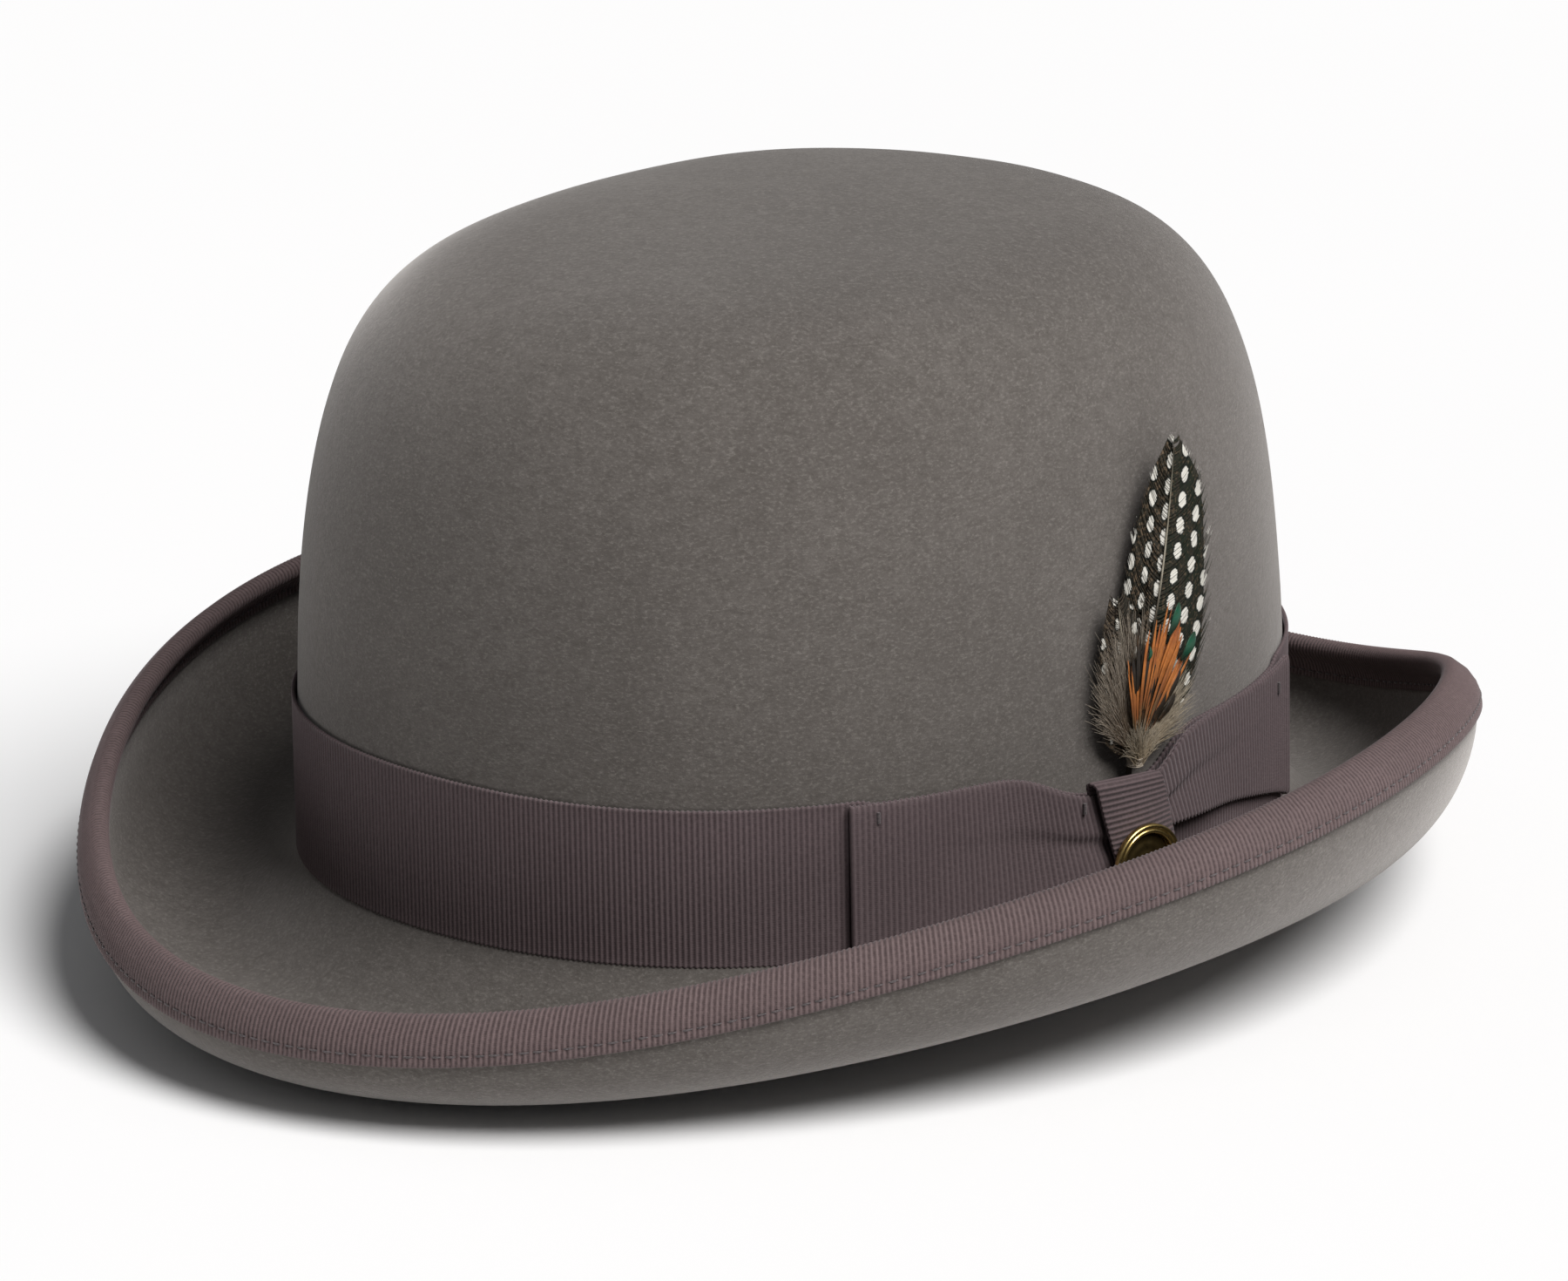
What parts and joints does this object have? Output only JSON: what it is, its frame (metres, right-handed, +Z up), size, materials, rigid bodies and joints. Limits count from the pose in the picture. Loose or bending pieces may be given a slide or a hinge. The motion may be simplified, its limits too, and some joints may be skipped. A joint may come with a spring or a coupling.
{
  "type": "bowler hat",
  "caption": "Bowler hat: round felt crown, brim rolled up all round and bound with ribbon, ribbon band with flat bow, removable feather and round pin.",
  "frame": {"origin": "under the centre of the brim, on the plane that the brim's front and back undersides stand on", "axes": "+Z up, +Y towards the back of the hat, +X towards the wearer's left, where the bow is"},
  "size_m": [0.2716, 0.3104, 0.1443],
  "materials": {
    "grey_felt": "soft brushed wool felt",
    "taupe_grosgrain": "ribbed matt grosgrain ribbon",
    "taupe_thread": "matt sewing thread",
    "tan_leather": "smooth satin",
    "black_cord": "matt",
    "satin_lining": "satin sheen",
    "paper_tab": "matt paper",
    "guinea_vane": "satin, white spots",
    "pheasant_vane": "satin",
    "down": "fluffy",
    "quill": "satin",
    "polished_brass": "polished",
    "dark_brass": "antiqued"
  },
  "bodies": {
    "hat": {"felt_crown": "grey_felt", "felt_brim": "grey_felt", "brim_binding": "taupe_grosgrain", "binding_thread": "taupe_thread", "hat_band": "taupe_grosgrain", "bow_front_wing": "taupe_grosgrain", "bow_rear_wing": "taupe_grosgrain", "bow_knot": "taupe_grosgrain", "bow_tack_stitches": "taupe_thread", "sweatband": "tan_leather", "sweatband_reed": "black_cord", "sweatband_stitches": "taupe_thread", "sweatband_bow": "taupe_grosgrain", "sweatband_bow_knot": "taupe_grosgrain", "lining_side": "satin_lining", "lining_tip": "satin_lining", "lining_piping": "taupe_grosgrain", "size_label": "paper_tab"},
    "feather": {"feather_quills": "quill", "feather_tie": "taupe_thread", "guinea_feather_main": "guinea_vane", "guinea_feather_side": "guinea_vane", "down_plume_front": "down", "down_plume_rear": "down", "pheasant_feather_rear": "pheasant_vane", "pheasant_feather_front": "pheasant_vane"},
    "pin": {"pin_bezel": "polished_brass", "pin_face": "dark_brass", "pin_post": "polished_brass", "pin_clutch": "polished_brass"}
  },
  "joints": [
    {"name": "feather_slide", "type": "slide", "parent": "hat", "child": "feather", "axis": [0, 0.1392, 0.9903], "range_m": [0, 0.0146]},
    {"name": "pin_spin", "type": "hinge", "parent": "hat", "child": "pin", "pos_m": [0.0947, -0.00016, 0.0303], "axis": [0.9848, -0.1736, 0], "continuous": true}
  ]
}
